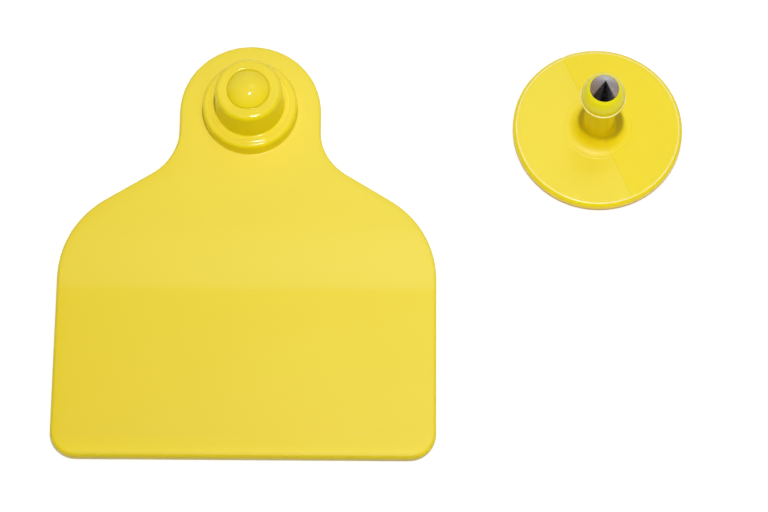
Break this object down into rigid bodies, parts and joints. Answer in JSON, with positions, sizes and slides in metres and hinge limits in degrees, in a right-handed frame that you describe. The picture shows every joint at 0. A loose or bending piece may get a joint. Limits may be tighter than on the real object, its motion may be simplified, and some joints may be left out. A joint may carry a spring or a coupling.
{
  "type": "livestock ear tag",
  "caption": "Two-piece livestock ear tag, laid out open: a flexible flag with a closed snap socket, and a button with a stem, locking head and metal piercing tip.",
  "frame": {"origin": "centre of the locking socket's mouth, on the flag's back face; both halves rest on the plane Z = 0", "axes": "+Z out of the flag's front face along the socket's axis, +Y towards the top of the flag's round head, +X towards the button laid beside it"},
  "size_m": [0.1095, 0.0762, 0.0228],
  "materials": {
    "flag_tpu": "moulded thermoplastic polyurethane, yellow, smooth satin gloss, flexible",
    "ring_acetal": "hard natural acetal, moulded",
    "button_tpu": "moulded thermoplastic polyurethane, yellow, smooth satin gloss",
    "tip_metal": "turned metal cone, fine tool rings, bright"
  },
  "bodies": {
    "root": {"ear_flag": "flag_tpu", "locking_ring": "ring_acetal", "male_button": "button_tpu", "piercing_tip": "tip_metal"}
  },
  "joints": []
}
